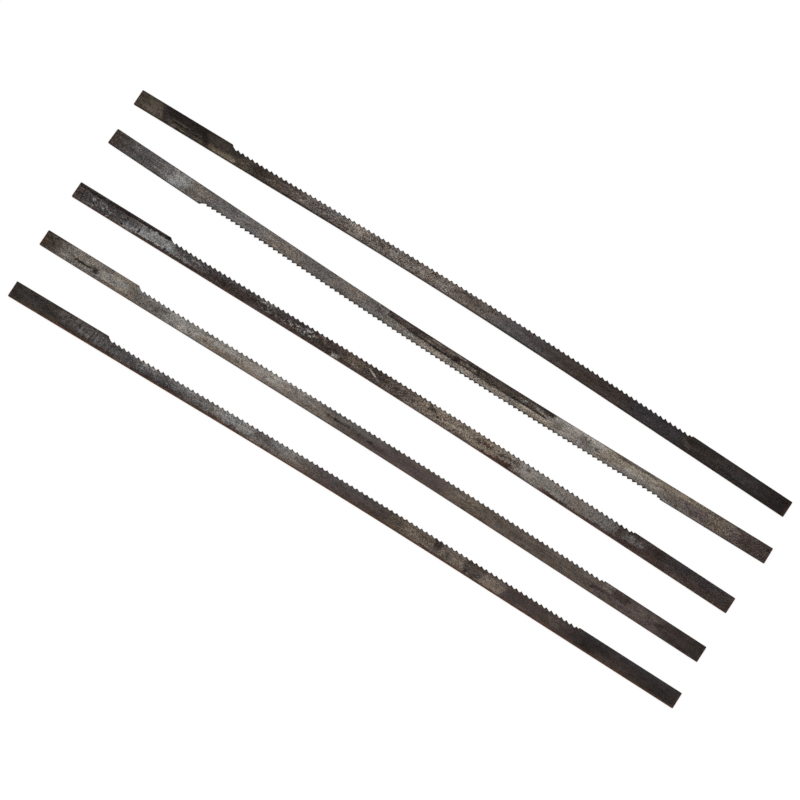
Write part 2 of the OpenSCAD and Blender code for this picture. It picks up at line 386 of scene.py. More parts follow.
LOOKS["blade_3"] = Look(
    rim="russet",
    rim_stain_and_shade=0.5,
    rust=0.6,
    tip_fade=0.35,
    tones=[
        (0, "umber"), (2, "graphite"), (8, "graphite"), (12, "pewter"), (17, "frost"), (20, "pewter"),
        (24, "mauve"), (28, "umber"), (48, "umber"), (53, "bark"), (60, "bark"), (66, "iron"), (71, "fawn"),
        (83, "fawn"), (89, "dove"), (96, "dove"), (100, "steel"), (106, "pewter"), (110, "umber"),
        (130, "umber"),
    ],
    grit=[
        (0, 1.6), (9, 1.4), (14, 1), (26, 1.15), (34, 1.3), (40, 1.2), (50, 1.35), (60, 1.6), (70, 1.5),
        (78, 1.2), (85, 1.15), (90, 0.65), (100, 0.7), (106, 0.9), (110, 1), (118, 0.85), (130, 0.95),
    ],
)
STAINS["blade_3"] = [
    flake("soot", (0.5, 10), (0.1, 2.3), (1, 0.3), 0.8),
    flake("frost", (2.5, 6), (1, 2), (0.5, 0.3), 0.7),
    flake("fawn", (3, 9), (-0.2, 0.5), (0.8, 0.2)),
    fleck("pewter", (4, 13), (0.2, 1.8), (1, 0.3), 0.8),
    fleck("frost", (0.8, 10), (0.2, 2.2), (0.8, 0.3), 0.4),
    pit("pitch", (0.8, 10), (0.2, 2.2), (0.8, 0.3), 0.9),
    mottle("frost", (9.6, 13), (0.2, 1.6), (0.6, 0.3), 0.7),
    solid("frost", (13, 19.5), (0.5, 2.2), (0.3, 0.2), 0.8, ragged=0.3),
    solid("slate", (11.5, 14.5), (1.5, 2.3), (0.5, 0.2), 0.6, ragged=0.3),
    mottle("frost", (19, 23), (0.4, 1.2), (0.6, 0.3), 0.8),
    solid("graphite", (19.3, 27), (1.15, 2.6), (0.6, 0.25), 0.8, ragged=0.35),
    fleck("frost", (19.5, 27), (1.2, 2.2), (0.6, 0.3), 0.6),
    mottle("graphite", (8, 12.5), (1.1, 2.3), (0.8, 0.3), 0.9),
    solid("pitch", (-1, 19), (2.3, 3.4), (0.4, 0.12), ragged=0.2),
    solid("graphite", (-1, 17.5), (2.65, 3.4), (0.5, 0.1), 0.7),
    solid("pitch", (6.5, 11), (2, 3), (1, 0.25), 0.45, ragged=0.3),
    solid("pitch", (9.7, 10.2), (1.75, 2.05), (0.15, 0.15)),
    solid("pitch", (9.4, 9.9), (1.2, 1.5), (0.15, 0.15)),
    solid("pitch", (9.4, 10), (0.35, 0.65), (0.2, 0.15)),
    solid("pitch", (12.75, 13.05), (0.6, 1.4), (0.15, 0.2), ragged=0.1),
    solid("pitch", (18.1, 19.3), (0.35, 0.7), (0.3, 0.15)),
    solid("umber", (12, 26), (-0.5, 0.48), (1, 0.12)),
    flake("frost", (22.5, 29), (0.6, 2), (1, 0.3), 0.35),
    mottle("pitch", (26, 46), (0.4, 2.5), (2, 0.3), 0.6),
    solid("slate", (28, 44), (1.6, 2.5), (1, 0.2), 0.5, ragged=0.3),
    flake("slate", (29, 36), (1.3, 2.3), (1, 0.3), 0.8),
    solid("pewter", (36.6, 39.8), (1.65, 2.4), (0.4, 0.15), 0.6, ragged=0.3),
    flake("silver", (37, 40), (1.4, 2.3), (0.6, 0.2), 0.7),
    flake("pewter", (36, 40.5), (0.5, 1.3), (0.6, 0.2), 0.9),
    flake("pewter", (41, 46.2), (0.6, 1.7), (0.6, 0.3)),
    fleck("silver", (42, 46), (0.7, 1.6), (0.6, 0.3)),
    flake("frost", (45.5, 47.8), (0.6, 2.1), (0.4, 0.3)),
    flake("fawn", (47, 51), (1, 2.3), (0.6, 0.3), 0.8),
    mottle("rust", (26, 62), (-0.5, 0.35), (2, 0.2), 0.35, ragged=0.3),
    solid("umber", (26, 62), (-0.5, 0.5), (2, 0.2), 0.8, ragged=0.3),
    solid("soot", (49, 54), (0.5, 1.6), (0.8, 0.3), 0.7, ragged=0.4),
    solid("ash", (51.6, 53.1), (-0.3, 0.72), (0.15, 0.15)),
    solid("olive", (54, 59), (0.7, 1.9), (0.5, 0.2), 0.4, ragged=0.4),
    fleck("ash", (52.8, 57), (0.6, 1.5), (0.6, 0.3), 0.5),
    solid("umber", (57.6, 60.8), (0.6, 2.2), (0.6, 0.3), 0.7),
    solid("silver", (58.6, 61), (1.05, 1.25), (0.3, 0.1), 0.8, lean=-0.45),
    solid("umber", (60.5, 64), (1, 1.6), (0.5, 0.2), 0.8, ragged=0.3),
    flake("ash", (62.2, 65), (0.6, 1.9), (0.4, 0.3)),
    flake("umber", (60, 69), (0.5, 2.4), (1, 0.3), 0.7),
    solid("fawn", (67.6, 70.2), (0.6, 1.7), (0.5, 0.3), 0.6),
    pit("soot", (62, 76), (0.3, 2.4), (1, 0.3), 0.9),
    solid("umber", (70.4, 71.6), (1.2, 2.1), (0.3, 0.15), ragged=0.3, lean=-0.4),
    solid("pitch", (72.1, 72.7), (0.8, 1.1), (0.15, 0.15)),
    solid("iron", (70, 80), (-0.3, 0.55), (1.5, 0.2), 0.7, ragged=0.2),
    pit("soot", (77, 90), (0.5, 2.3), (1, 0.3), 0.7),
    solid("russet", (80, 83), (1.2, 1.9), (0.3, 0.12), 0.9, ragged=0.35),
    fleck("ash", (80.5, 83), (1.3, 1.8), (0.3, 0.2), 0.6),
    mottle("umber", (84, 87.6), (1.3, 1.95), (0.3, 0.15), ragged=0.3),
    solid("russet", (84.2, 87.4), (-0.5, 0.9), (0.8, 0.1), ragged=0.35),
    solid("russet", (81, 89), (-0.5, 0.4), (1.5, 0.1), ragged=0.2),
    solid("ash", (88, 92), (0.9, 2.4), (0.6, 0.3), 0.6),
    solid("iron", (87.5, 88.3), (1.4, 1.9), (0.15, 0.15), 0.9),
    solid("umber", (89.7, 90.2), (1.8, 2.2), (0.15, 0.15), 0.8),
    solid("russet", (93, 98.5), (-0.5, 0.48), (1.5, 0.1), ragged=0.2),
    solid("russet", (99, 112), (-0.5, 0.5), (1.5, 0.1), 0.75),
    solid("russet", (106, 113), (-0.5, 0.9), (2, 0.12), 0.3),
    solid("umber", (107.6, 109), (0.8, 2.6), (0.2, 0.15), ragged=0.3),
    mottle("frost", (109, 112.8), (1, 2.2), (0.4, 0.2), 0.5),
    solid("umber", (113, 121), FULL, (0.5, 0.3), ragged=0.4),
    solid("russet", (112, 124), (0.1, 1.1), (2, 0.4), 0.5),
    solid("soot", (114, 127), (1.2, 2.6), (2, 0.4), 0.5),
    solid("bark", (115, 124), (-0.3, 0.8), (2, 0.4), 0.6),
    mottle("bluing", (118, 129), (1.4, 3.2), (2, 0.4), 0.7),
]

LOOKS["blade_4"] = Look(
    rim="bark",
    rim_stain_and_shade=0.35,
    rust=0.45,
    tip_fade=0.8,
    tones=[
        (0, "sepia"), (3, "khaki"), (5, "steel"), (7, "fawn"), (11, "steel"), (16, "fawn"), (20, "steel"),
        (24, "steel"), (27, "ash"), (45, "ash"), (50, "dove"), (55, "steel"), (61, "iron"), (65, "mauve"),
        (78, "mauve"), (81, "iron"), (104, "iron"), (112, "mauve"), (118, "mauve"), (123, "umber"),
        (130, "soot"),
    ],
    grit=[
        (0, 1), (12, 0.9), (30, 0.8), (50, 0.7), (62, 0.5), (68, 0.35), (78, 0.35), (84, 0.65), (95, 0.5),
        (112, 0.65), (130, 0.5),
    ],
)
STAINS["blade_4"] = [
    solid("rust", (-0.5, 0.6), (0.2, 1.8), (0.3, 0.4), 0.6),
    mottle("soot", (1, 3.2), FULL, (0.8, 0.4), 0.5),
    solid("steel", (3.3, 6), (-0.2, 0.6), (0.6, 0.2), 0.7),
    solid("khaki", (3.4, 5.6), (0.8, 1.9), (0.5, 0.3), 0.5),
    mottle("frost", (4, 12), (0.2, 2.6), (1, 0.3), 0.4),
    streak("soot", (5.5, 10.8), (1, 1.3), (0.8, 0.12)),
    solid("soot", (6.8, 10.8), (1.05, 1.3), (0.6, 0.12), 0.7, ragged=0.15),
    solid("soot", (7.1, 7.5), (0.4, 1.3), (0.2, 0.2), 0.8),
    solid("soot", (10, 11), (0.8, 1.6), (0.4, 0.3), 0.9, ragged=0.3),
    mottle("silver", (11.2, 17), (0.5, 1.4), (0.6, 0.3), 0.7),
    mottle("silver", (12.8, 17), (1.3, 2.3), (0.6, 0.3), 0.7),
    streak("frost", (11.5, 16.5), (0.8, 2.2), (0.6, 0.3), 0.6),
    mottle("ash", (4, 9), (0.38, 0.8), (1, 0.15), 0.7),
    solid("umber", (3, 16), (0.27, 0.36), (1.5, 0.08), 0.8, ragged=0.08),
    solid("iron", (12, 26), (0.32, 0.45), (2, 0.1), 0.8),
    mottle("iron", (17.5, 21), (0.5, 2.4), (1, 0.4), 0.6),
    solid("pewter", (18.5, 24.8), (0.4, 2.2), (0.8, 0.4), 0.5),
    solid("frost", (18.6, 24.8), (1.9, 3), (0.8, 0.3), 0.6),
    solid("bluing", (22.5, 23.2), (0.5, 1.1), (0.4, 0.3), 0.7),
    mottle("silver", (24.8, 31.5), (0.4, 2.2), (0.5, 0.4), 0.6),
    solid("frost", (24.5, 32), FULL, (0.5, 0.4), 0.3),
    solid("fawn", (31, 45), (-0.2, 0.8), (1.5, 0.1), ragged=0.15),
    solid("fawn", (31.3, 33.4), (0.8, 1.8), (0.5, 0.3), 0.5),
    cross("iron", (32, 37), (0.9, 2.3), (1, 0.3), 0.7),
    mottle("silver", (32, 44), (1.4, 2.5), (1.5, 0.3), 0.8),
    mottle("fawn", (39, 43), (0.6, 2.2), (1, 0.3), 0.5),
    mottle("silver", (43, 54), (1.1, 2.5), (2, 0.4), 0.9),
    solid("silver", (43.4, 46), (0.5, 1.4), (0.5, 0.3), 0.6),
    solid("fawn", (44, 56), (-0.2, 0.7), (2, 0.3), 0.6),
    solid("iron", (46, 50), (-0.3, 0.4), (1, 0.2), 0.5),
    streak("iron", (49, 57), (0.9, 2), (1.5, 0.4), 0.7),
    solid("iron", (58, 82), (-0.3, 0.5), (2, 0.25), 0.6),
    solid("pewter", (57, 68), (1.6, 2.7), (2, 0.3), 0.8),
    solid("graphite", (60, 67), (0.6, 1.4), (2, 0.3), 0.5),
    solid("pitch", (56.5, 66), (1.05, 1.25), (1, 0.12), 0.9, ragged=0.2, lean=-0.03),
    solid("iron", (70.5, 80), (1.6, 2.7), (1.5, 0.3), 0.6),
    mottle("olive", (80, 91), (0.4, 2.4), (1, 0.4), 0.4),
    streak("fawn", (81.5, 85.5), (1, 2.4), (0.8, 0.4), 0.9),
    streak("umber", (83, 91), (1.7, 1.85), (1, 0.12), 0.7),
    streak("bark", (92, 110), (0.3, 2.4), (3, 0.4), 0.6),
    solid("iron", (104, 115), (-0.3, 0.6), (2, 0.25), 0.8),
    solid("iron", (106, 112), (1.7, 2.7), (1, 0.25), 0.8),
    solid("soot", (108, 114), (1.1, 1.55), (0.8, 0.2), 0.7, ragged=0.3, lean=0.1),
    solid("umber", (112.3, 115.5), (1.4, 2.7), (0.4, 0.3), ragged=0.3, slant=0.8),
    solid("steel", (110.3, 112.2), (1.6, 3), (0.4, 0.3), 0.5),
    mottle("iron", (115.6, 121.5), (0.4, 2.6), (0.5, 0.4), 0.7),
    solid("soot", (120.6, 122.2), (1.1, 1.9), (0.3, 0.2), 0.8, ragged=0.3),
    solid("rust", (60, 122), (-0.5, 0.35), (5, 0.2), 0.18, ragged=0.15),
    solid("dove", (3, 7.5), (-0.3, 0.5), (0.8, 0.2), 0.6),
    solid("silver", (28, 30.5), (0.4, 1.2), (0.5, 0.3), 0.6),
    solid("iron", (35, 37.5), (0.4, 1.1), (0.5, 0.3), 0.5),
    solid("silver", (42.7, 44.8), (0.6, 1.4), (0.5, 0.3), 0.6),
    solid("fawn", (47.4, 49.5), (1, 1.8), (0.5, 0.3), 0.6),
]

LOOKS["blade_5"] = Look(
    rim="cocoa",
    rim_stain_and_shade=0.8,
    rust=0.85,
    tip_fade=0.7,
    tones=[
        (0, "soot"), (3, "sepia"), (9, "sepia"), (13, "bark"), (18, "graphite"), (23, "slate"),
        (28, "slate"), (34, "pewter"), (42, "dove"), (48, "steel"), (54, "steel"), (58, "iron"),
        (63, "mauve"), (70, "bark"), (74, "bark"), (78, "iron"), (90, "iron"), (96, "mauve"), (104, "bark"),
        (109, "umber"), (112, "soot"), (118, "umber"), (124, "soot"), (130, "soot"),
    ],
    grit=[
        (0, 0.7), (12, 1), (30, 1), (45, 1), (55, 0.8), (62, 0.55), (72, 0.55), (78, 0.9), (92, 0.9),
        (98, 0.5), (130, 0.5),
    ],
)
STAINS["blade_5"] = [
    mottle("bluing", (1, 9), (0.5, 3), (2, 0.4), 0.7),
    mottle("pewter", (9, 15), (0.9, 2.6), (1.5, 0.4), 0.6),
    solid("bluing", (10.6, 13.4), (0.4, 1.6), (0.6, 0.3), 0.6),
    solid("sepia", (8.5, 15), (0.3, 1), (1, 0.2), 0.4),
    cross("frost", (13.5, 18.5), (0.75, 2.5), (1, 0.4), 0.6),
    flake("frost", (18.5, 24), (0.9, 1.7), (0.8, 0.3), 0.8, lean=-0.08),
    mottle("frost", (23.5, 29), (0.7, 2.4), (1.2, 0.4), 0.6),
    mottle("silver", (25, 28), (1.6, 2.4), (0.8, 0.3), 0.7),
    flake("soot", (17, 26), (1.4, 2.3), (1, 0.3), 0.7),
    solid("slate", (22.3, 24.6), (0.9, 1.7), (0.4, 0.2), 0.9, ragged=0.3),
    solid("frost", (19.8, 21.6), (0.85, 1.4), (0.4, 0.2), 0.6, ragged=0.3),
    mottle("frost", (32, 42), (1.3, 2.4), (2, 0.4), 0.5),
    solid("pewter", (36.2, 39.4), (0.8, 1.9), (0.6, 0.3), 0.8, ragged=0.3),
    mottle("silver", (40.5, 47), (1.2, 2.4), (1, 0.3), 0.7),
    streak("frost", (41, 48.5), (0.6, 1.3), (1, 0.2), 0.9),
    solid("frost", (41.5, 47.5), (1, 3), (0.6, 0.25), 0.6),
    solid("slate", (47.8, 52.5), (0.7, 2.3), (0.8, 0.3), 0.7, ragged=0.3),
    solid("sepia", (8, 28), (-0.5, 0.4), (2, 0.2), 0.6, ragged=0.3),
    solid("soot", (24, 36), (-0.5, 0.5), (3, 0.15), ragged=0.35),
    solid("bluing", (27, 38), (0.2, 0.9), (3, 0.3), 0.85, ragged=0.3),
    solid("umber", (30, 45.5), (-0.5, 0.5), (3, 0.15), ragged=0.3),
    solid("bark", (41, 44.4), (0.1, 0.8), (0.6, 0.15), 0.5, ragged=0.2),
    fleck("frost", (52, 57), (0.5, 2.4), (1.5, 0.4), 0.7),
    solid("frost", (50.8, 55.2), (1.4, 3), (0.8, 0.3), 0.5),
    solid("slate", (58, 72), (1.4, 2.7), (3, 0.4), 0.7),
    mottle("olive", (74, 82.6), (0.3, 2.2), (0.8, 0.4), 0.5),
    fleck("fawn", (76.5, 82.4), (0.3, 2.3), (0.3, 0.3)),
    mottle("bark", (80, 82.5), (0.8, 1.9), (0.5, 0.3), 0.7),
    solid("umber", (79, 91), (-0.5, 0.45), (1, 0.15), 0.8, ragged=0.35),
    solid("umber", (82.7, 84), (0.6, 2.6), (0.25, 0.3), ragged=0.4),
    mottle("fawn", (83.9, 85.2), (0.5, 1.8), (0.15, 0.2), ragged=0.4),
    solid("umber", (85, 86), (0.4, 1.5), (0.2, 0.2), 0.7, ragged=0.4),
    mottle("fawn", (86, 88.6), (0.4, 2), (0.4, 0.3), 0.8, ragged=0.4),
    solid("soot", (88.8, 92), (0.4, 1.7), (0.3, 0.2), 0.75, ragged=0.3, slant=-0.4),
    solid("umber", (88.4, 92.6), (1.6, 2.8), (0.3, 0.2), 0.7),
    solid("fawn", (92, 96.4), (0.3, 2), (0.4, 0.3), 0.75, ragged=0.3, slant=0.5),
    solid("umber", (96.8, 101), (0.5, 2.8), (0.6, 0.5), 0.5),
    solid("iron", (105, 107), (0.8, 2.3), (0.2, 0.3), 0.5, slant=-0.6),
    solid("mauve", (105.5, 109.3), (1.6, 3), (0.8, 0.3), 0.6),
    solid("bluing", (110, 131), (2, 3.2), (2, 0.4), 0.6),
    solid("pitch", (111.5, 117), (0.6, 2.2), (0.5, 0.4), 0.5),
    mottle("bark", (114, 123), (0.1, 1), (1.5, 0.3), 0.6),
    solid("rust", (3, 127), (-0.5, 0.32), (3, 0.2), 0.3, ragged=0.15),
    solid("graphite", (20, 25.2), (0.4, 1.3), (0.8, 0.3), 0.6),
    solid("pewter", (34.8, 36.8), (0.3, 1), (0.5, 0.3), 0.6),
    solid("steel", (82.4, 84.4), (0.6, 1.3), (0.5, 0.3), 0.6),
    solid("iron", (89.9, 92), (0.9, 1.7), (0.5, 0.3), 0.7),
]


def finish_colour(label, seen, note):
    """Colour property of one steel finish, as the eye sees it."""
    return FloatVectorProperty(
        name=label,
        description=note,
        subtype="COLOR_GAMMA",
        min=0.0,
        max=1.0,
        default=[channel / 255 for channel in seen],
    )


def number_setting(label, note, default, **limits):
    """Property that holds one number, with its limits and its unit."""
    return FloatProperty(name=label, description=note, default=default, **limits)


def count_setting(label, note, default, most):
    """Property that holds a count of one or more."""
    return IntProperty(name=label, description=note, default=default, min=1, max=most)


class BladeSettings(bpy.types.PropertyGroup):
    """Shape details that the dressed blades add to the plain strips."""

    edge_radius: number_setting(
        "Edge Radius", "Rounding worn onto the edges of the strip",
        0.04 * MM, min=0.005 * MM, max=0.08 * MM, precision=6, unit="LENGTH",
    )
    edge_steps: count_setting("Edge Steps", "Flat steps in the rounding of an edge", 2, most=6)
    rows: count_setting(
        "Rows", "Rows of faces between the back edge and the roots of the teeth", 3, most=12
    )


class FinishSettings(bpy.types.PropertyGroup):
    """Colours of the steel finishes and how strongly the surface varies."""

    pitch: finish_colour("Pitch", (36, 31, 29), "Thick black scale from hardening")
    soot: finish_colour("Soot", (47, 42, 40), "Thin dark scale")
    bluing: finish_colour("Bluing", (54, 51, 53), "Blue-black tempered steel")
    graphite: finish_colour("Graphite", (65, 60, 59), "Dark cool scale")
    russet: finish_colour("Russet", (64, 48, 43), "Red-brown stain")
    cocoa: finish_colour("Cocoa", (72, 54, 43), "Brown stain along an edge")
    sepia: finish_colour("Sepia", (57, 51, 45), "Olive-black scale")
    umber: finish_colour("Umber", (60, 52, 49), "Brown-black scale")
    bark: finish_colour("Bark", (70, 61, 57), "Dark brown scale worn thin")
    mauve: finish_colour("Mauve", (76, 67, 66), "Dark steel with a purple cast")
    slate: finish_colour("Slate", (78, 74, 74), "Dark cool steel")
    khaki: finish_colour("Khaki", (80, 72, 63), "Olive-brown scale worn thin")
    iron: finish_colour("Iron", (88, 79, 73), "Dull dark steel")
    pewter: finish_colour("Pewter", (94, 90, 88), "Dull cool steel")
    steel: finish_colour("Steel", (101, 94, 88), "Plain rolled steel")
    fawn: finish_colour("Fawn", (111, 101, 91), "Warm grey steel")
    dove: finish_colour("Dove", (111, 105, 100), "Pale grey steel")
    straw: finish_colour("Straw", (128, 119, 106), "Pale steel with a yellow cast")
    ash: finish_colour("Ash", (122, 116, 110), "Pale worn steel")
    silver: finish_colour("Silver", (137, 132, 127), "Bright worn steel")
    frost: finish_colour("Frost", (117, 117, 117), "Pale cool steel")
    olive: finish_colour("Olive", (96, 86, 70), "Oil stain")
    rust: finish_colour("Rust", (88, 60, 42), "Dark rust")
    ochre: finish_colour("Ochre", (102, 68, 47), "Fresh rust on a cut side")
    light_gain: number_setting(
        "Light Gain", "How much brighter the studio shows a surface than its own colour",
        0.7, min=0.1, max=5.0,
    )
    mottle: number_setting("Mottle", "Strength of the cloudy variation in tone", 1.2, min=0.0, max=4.0)
    speckle: number_setting("Speckle", "Strength of the fine grain", 1.0, min=0.0, max=6.0)
    tint: number_setting(
        "Tint", "Strength of the drift between warm and cool", 0.24, min=0.0, max=1.0, subtype="FACTOR"
    )
    relief: number_setting(
        "Relief", "Depth of pits and scale on the surface",
        0.012 * MM, min=0.0, max=0.1 * MM, precision=6, unit="LENGTH",
    )


class StageSettings(bpy.types.PropertyGroup):
    """Floor, lights and camera."""

    floor_radius: number_setting("Floor Radius", "Radius of the round floor", 8.0, min=0.2, unit="LENGTH")
    floor_drop: number_setting(
        "Floor Drop", "Distance of the floor below the blades",
        0.01 * MM, min=0.0, precision=6, unit="LENGTH",
    )
    floor_colour: FloatVectorProperty(
        name="Floor Colour",
        description="Colour of the floor",
        subtype="COLOR",
        min=0.0,
        max=1.0,
        default=(0.15, 0.15, 0.15),
    )
    floor_glow: number_setting(
        "Floor Glow", "White light that the floor gives out itself, like a light table", 0.9, min=0.0
    )
    sky: number_setting("Sky", "Strength of the even white light from all round", 0.6, min=0.0)
    softbox_power: number_setting("Softbox Power", "Power of each soft light", 0.96, min=0.0, unit="POWER")
    softbox_size: number_setting("Softbox Size", "Width of each soft light", 0.5, min=0.01, unit="LENGTH")
    view_tilt: number_setting(
        "View Tilt", "Angle between the view and straight down", math.radians(12.249), subtype="ANGLE"
    )
    view_side: number_setting(
        "View Side", "Side that the camera is tilted to, from the bottom of the picture",
        math.radians(-7.43), subtype="ANGLE",
    )
    view_turn: number_setting(
        "View Turn", "Turn of the picture against the blades", math.radians(33.014), subtype="ANGLE"
    )
    view_distance: number_setting(
        "View Distance", "Distance of the camera from the floor point in the middle of the picture",
        460.63 * MM, min=0.05, unit="LENGTH",
    )
    view_aim: FloatVectorProperty(
        name="View Aim",
        description="Floor point in the middle of the picture",
        size=2,
        subtype="XYZ",
        unit="LENGTH",
        default=(0.2607 * MM, -0.5001 * MM),
    )
    view_lens: number_setting(
        "View Lens", "Focal length for a picture 36 mm wide, in millimetres", 124.16, min=10.0
    )


def outline_of(node):
    """Points of the outline of a strip's upper face, anticlockwise, in millimetres."""
    mesh = bmesh.new()
    mesh.from_mesh(node.data)
    bmesh.ops.remove_doubles(mesh, verts=mesh.verts, dist=WELD * MM)
    mesh.normal_update()
    mesh.verts.index_update()
    after = {}
    for face in mesh.faces:
        for loop in face.loops:
            beside = loop.link_loop_radial_next.face
            if face.normal.z > UPWARD > beside.normal.z:
                after[loop.vert.index] = loop.link_loop_next.vert.index
    order = [min(after)]
    while after[order[-1]] != order[0]:
        order.append(after[order[-1]])
    mesh.verts.ensure_lookup_table()
    points = np.array([mesh.verts[index].co.xy for index in order]) / MM
    mesh.free()
    return points


def long_edges(points):
    """Back edge and toothed edge of a strip, each from the front end to the rear."""
    steps = np.roll(points, -1, axis=0) - points
    run, rise = np.abs(steps).T
    cuts = np.flatnonzero((rise > run) & (rise > CUT_MIN))
    if len(cuts) != 2:
        raise RuntimeError(f"a strip has two cut ends, and {len(cuts)} were found")
    front, rear = sorted(cuts, key=lambda index: points[index][0])
    count = len(points)
    low = np.roll(points, -front - 1, axis=0)[: (rear - front) % count]
    high = np.roll(points, -rear - 1, axis=0)[: (front - rear) % count][::-1]
    return sorted((low, high), key=len)


def strip_places(points, back):
    """Distance of each point along a strip's back edge and across from it."""
    steps = np.linalg.norm(np.diff(back, axis=0), axis=1)
    straight = np.flatnonzero(steps > CUT_MIN)
    spine = back[straight[0] : straight[-1] + 2]
    runs = np.diff(spine, axis=0)
    lengths = np.linalg.norm(runs, axis=1)
    ways = runs / lengths[:, None]
    offsets = points[:, None] - spine[:-1]
    least = np.zeros(len(lengths))
    least[0] = -np.inf
    most = lengths.copy()
    most[-1] = np.inf
    reach = np.clip((offsets * ways).sum(axis=2), least, most)
    gaps = np.linalg.norm(offsets - reach[..., None] * ways, axis=2)
    nearest = gaps.argmin(axis=1)
    each = np.arange(len(points))
    along = np.concatenate([[0], np.cumsum(lengths)])[nearest] + reach[each, nearest]
    return along, gaps[each, nearest]


def stations_of(teeth_along, back_along):
    """Places along a strip where its mesh is cut: at the points of both edges, and evenly elsewhere."""
    stations = teeth_along
    even = np.arange(stations[0], stations[-1], PLAIN_STEP)
    for extra, room in ((back_along, STATION_GAP), (even, PLAIN_STEP / 2)):
        free = [place for place in extra if np.abs(stations - place).min() > room]
        stations = np.sort(np.concatenate([stations, free]))
    return stations


def inward(ring):
    """Mitred inward direction at each point of an anticlockwise ring."""
    ways = np.roll(ring, -1, axis=0) - ring
    ways /= np.linalg.norm(ways, axis=1)[:, None]
    after = np.column_stack([-ways[:, 1], ways[:, 0]])
    before = np.roll(after, 1, axis=0)
    return (before + after) / (1 + (before * after).sum(axis=1))[:, None]


def around(stations, heights, pick):
    """Lowest or highest tooth line height near each station."""
    near = np.abs(stations[:, None] - stations) < TOOTH_WINDOW
    fill = np.inf if pick is np.min else -np.inf
    return pick(np.where(near, heights, fill), axis=1)


class StripShape:
    """Stations, edges and tooth heights of one strip, in millimetres."""

    def __init__(self, node):
        back, teeth = long_edges(outline_of(node))
        back_along, _ = strip_places(back, back)
        teeth_along, _ = strip_places(teeth, back)
        start = teeth_along[0]
        self.stations = stations_of(teeth_along, back_along) - start
        self.length = self.stations[-1]
        self.back = self.on_edge(back, back_along - start)
        self.teeth = self.on_edge(teeth, teeth_along - start)
        self.heights = np.linalg.norm(self.teeth - self.back, axis=1)
        lowest = around(self.stations, self.heights, np.min)
        highest = around(self.stations, self.heights, np.max)
        depth = highest - lowest
        toothed = (depth > TOOTH_MIN) & (self.stations > CUT_MIN) & (self.stations < self.length - CUT_MIN)
        self.roots = lowest - ROOT_MARGIN
        self.tips = np.where(toothed, (self.heights - lowest) / np.maximum(depth, TOOTH_MIN), 0)

    def on_edge(self, edge, along):
        """Points of an edge at the stations."""
        return np.column_stack([np.interp(self.stations, along, axis) for axis in edge.T])


class MeshDraft:
    """Points and faces of a blade in the making, given in millimetres."""

    def __init__(self, bottom, thick):
        self.bottom = bottom
        self.thick = thick
        self.places = []
        self.strips = []
        self.tips = []
        self.faces = []
        self.slots = []

    def add_line(self, points, height, along, across, tips):
        """Adds a line of points and returns their numbers."""
        start = len(self.places)
        side = 1 if height > self.thick / 2 else -1
        self.places.extend((x * MM, y * MM, (self.bottom + height) * MM) for x, y in points)
        self.strips.extend((at, over, side) for at, over in zip(along, across))
        self.tips.extend(tips)
        return list(range(start, len(self.places)))

    def add_faces(self, faces, slot):
        """Adds faces that show the material in one slot."""
        self.faces.extend(faces)
        self.slots.extend([slot] * (len(self.faces) - len(self.slots)))

    def to_mesh(self, name):
        """Mesh with each point's place on the strip and on its tooth as attributes."""
        mesh = bpy.data.meshes.new(name)
        mesh.from_pydata(self.places, [], self.faces)
        strip = mesh.attributes.new("strip", "FLOAT_VECTOR", "POINT")
        strip.data.foreach_set("vector", np.array(self.strips, dtype=np.float32).ravel())
        tip = mesh.attributes.new("tip", "FLOAT", "POINT")
        tip.data.foreach_set("value", np.array(self.tips, dtype=np.float32))
        mesh.polygons.foreach_set("material_index", self.slots)
        mesh.validate()
        mesh.update()
        return mesh


def edge_levels(radius, steps, thick):
    """Inset and height of each ring of points round a strip with rounded edges, from its underside up."""
    quarter = [math.pi / 2 * step / steps for step in range(steps + 1)]
    lower = [(radius * (1 - math.sin(turn)), radius * (1 - math.cos(turn))) for turn in quarter]
    return lower + [(inset, thick - height) for inset, height in reversed(lower)]


